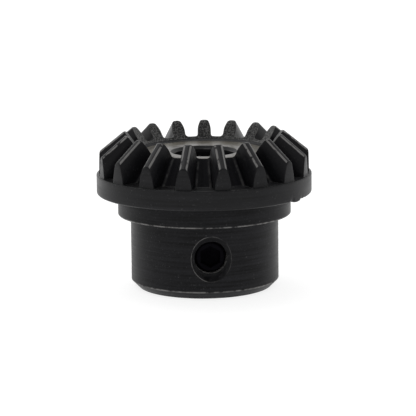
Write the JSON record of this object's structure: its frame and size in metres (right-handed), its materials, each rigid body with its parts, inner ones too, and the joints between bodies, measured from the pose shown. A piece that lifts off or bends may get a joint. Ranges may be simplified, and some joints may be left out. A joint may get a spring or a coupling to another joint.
{
  "type": "bevel gear",
  "caption": "Straight bevel gear on a stepped hub, with a plain bore and a set screw that clamps it to its shaft.",
  "frame": {"origin": "centre of the bore in the hub's flat end face", "axes": "+Z along the bore towards the teeth and the pitch apex, -Y along the set screw's hole, out of the hub"},
  "size_m": [0.0283, 0.0282, 0.0204],
  "materials": {
    "blackened_steel": "satin black oxide, turned and cut",
    "screw_steel": "satin black oxide"
  },
  "bodies": {
    "gear": {"bevel_gear": "blackened_steel"},
    "screw": {"set_screw": "screw_steel"}
  },
  "joints": [
    {"name": "screw_travel", "type": "slide", "parent": "gear", "child": "screw", "axis": [0, -1, 0], "range_m": [-0.0004, 0.0032]}
  ]
}
